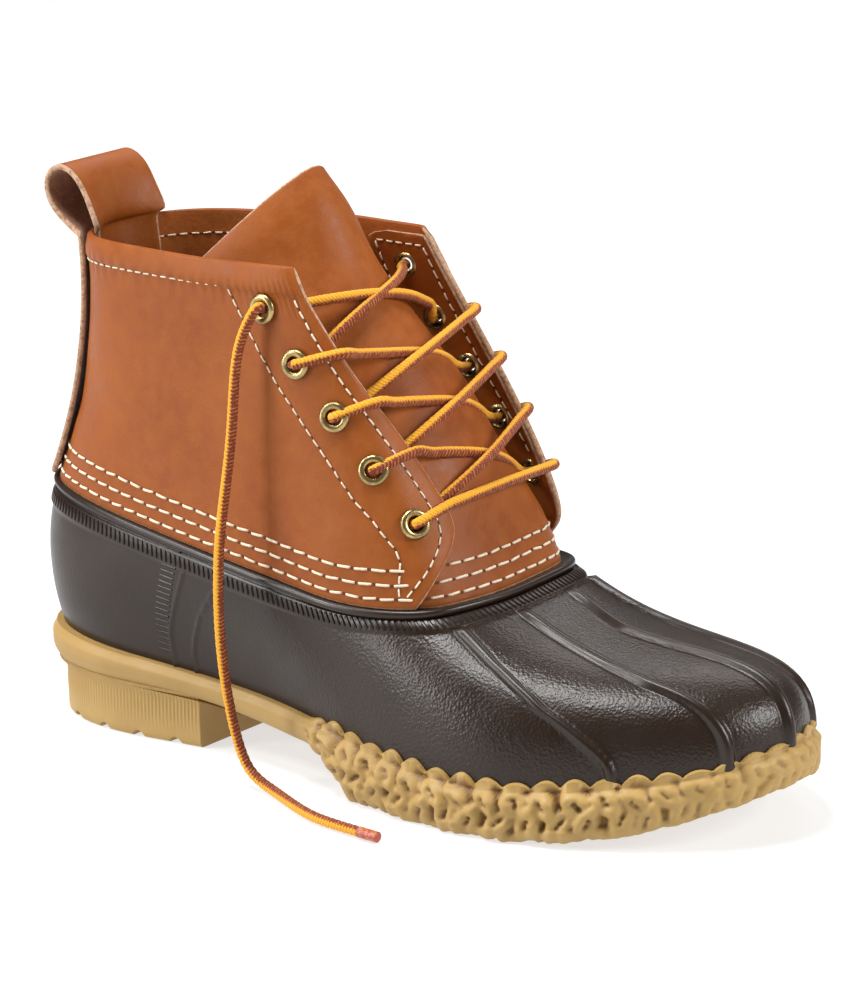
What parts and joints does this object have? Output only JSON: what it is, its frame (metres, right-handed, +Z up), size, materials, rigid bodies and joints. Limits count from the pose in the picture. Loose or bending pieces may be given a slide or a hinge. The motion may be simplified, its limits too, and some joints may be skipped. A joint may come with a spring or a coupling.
{
  "type": "duck boot",
  "caption": "Lace-up duck boot for the right foot: tan leather shaft on a brown rubber bottom with a gum chain-tread sole.",
  "frame": {"origin": "centre of the heel's floor face", "axes": "+X to the toe, +Y to the inner side of the right foot, +Z up"},
  "size_m": [0.2989, 0.1416, 0.2014],
  "materials": {
    "rubber": "satin moulded, fine pebble grain",
    "gum": "matt gum",
    "leather": "smooth oiled, semi-matt",
    "tongue_leather": "smooth oiled",
    "strap_leather": "smooth oiled",
    "insole_felt": "felt",
    "brass": "aged, satin",
    "lace": "round braid, two tones"
  },
  "bodies": {
    "root": {"rubber_shell": "rubber", "outsole": "gum", "quarters": "leather", "tongue_vamp": "tongue_leather", "insole": "insole_felt", "pull_loop": "strap_leather", "eyelet_outer_1": "brass", "eyelet_inner_1": "brass", "eyelet_outer_2": "brass", "eyelet_inner_2": "brass", "eyelet_outer_3": "brass", "eyelet_inner_3": "brass", "eyelet_outer_4": "brass", "eyelet_inner_4": "brass", "eyelet_outer_5": "brass", "eyelet_inner_5": "brass", "lace_cross_1": "lace", "lace_cross_2": "lace", "lace_cross_3": "lace", "lace_cross_4": "lace", "lace_bar": "lace", "lace_end": "lace"}
  },
  "joints": []
}
